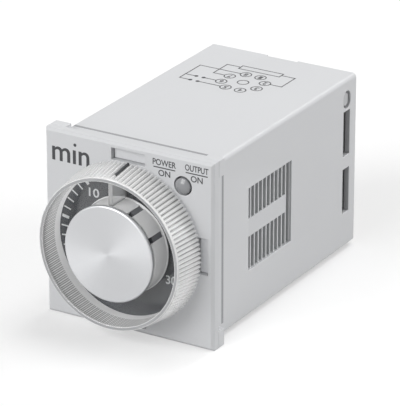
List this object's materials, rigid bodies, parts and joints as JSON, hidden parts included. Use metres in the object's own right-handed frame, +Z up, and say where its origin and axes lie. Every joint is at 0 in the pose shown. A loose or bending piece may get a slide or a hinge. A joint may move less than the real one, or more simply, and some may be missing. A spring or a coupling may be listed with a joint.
{
  "type": "plug-in panel timer",
  "caption": "Square-faced plug-in timer relay with a clear ridged setting dial, vented grey case, indicator lens and a keyed octal plug at the rear.",
  "frame": {"origin": "under the middle of the whole part, level with the front plate's lower edge", "axes": "+Z up, the face looks along -Y, the plug points along +Y, +X is to the right of the face"},
  "size_m": [0.036, 0.078, 0.037],
  "materials": {
    "face_plastic": "moulded light grey, fine satin",
    "case_plastic": "moulded light grey, fine satin",
    "base_plastic": "moulded mid grey",
    "scale_black": "printed dark grey, semi-matt",
    "dial_clear": "clear moulded acrylic",
    "lens_clear": "clear moulded lens",
    "core_plastic": "moulded grey",
    "cap_aluminium": "satin anodised",
    "pin_nickel": "nickel-plated brass",
    "board_laminate": "glass-epoxy laminate",
    "lamp_resin": "diffused resin",
    "pot_casing": "drawn metal",
    "pot_track": "phenolic sheet",
    "tinned_metal": "tinned",
    "steel": "plated steel",
    "contact_metal": "spring bronze",
    "black_epoxy": "moulded epoxy",
    "resistor_coating": "cement coating",
    "can_sleeve": "sleeved can",
    "film_case": "moulded box",
    "relay_plastic": "moulded",
    "relay_iron": "plated soft iron",
    "bobbin_plastic": "moulded",
    "copper_wire": "enamelled copper wire"
  },
  "bodies": {
    "housing": {"front_plate": "face_plastic", "scale_plate": "scale_black", "led_lens": "lens_clear", "case": "case_plastic", "plug_base": "base_plastic", "plug_pins": "pin_nickel", "front_board": "board_laminate", "control_board": "board_laminate", "power_board": "board_laminate", "plug_board": "board_laminate", "indicator_led": "lamp_resin", "pot_body": "pot_casing", "pot_track": "pot_track", "pot_terminals": "tinned_metal", "pot_nut": "steel", "timer_chip": "black_epoxy", "rectifier": "black_epoxy", "dropper_resistor": "resistor_coating", "smoothing_capacitor": "can_sleeve", "line_capacitor": "film_case", "relay_base": "relay_plastic", "relay_yoke": "relay_iron", "relay_core": "relay_iron", "relay_bobbin": "bobbin_plastic", "relay_coil": "copper_wire", "relay_contacts": "contact_metal", "relay_spring": "contact_metal"},
    "dial": {"dial_knob": "dial_clear", "dial_core": "core_plastic", "knob_cap": "cap_aluminium", "pot_shaft": "steel", "pot_wiper": "contact_metal"},
    "armature": {"relay_armature": "relay_iron", "moving_contact": "contact_metal"}
  },
  "joints": [
    {"name": "dial_turn", "type": "hinge", "parent": "housing", "child": "dial", "pos_m": [0, -0.0318, 0.0181], "axis": [0, 1, 0], "range_deg": [-120, 120]},
    {"name": "armature_swing", "type": "hinge", "parent": "housing", "child": "armature", "pos_m": [-0.00196, 0.0143, 0.0185], "axis": [0, 0, 1], "range_deg": [0, 3.5], "stiffness_Nm_per_rad": 0.004, "springref_deg": -3.44}
  ]
}
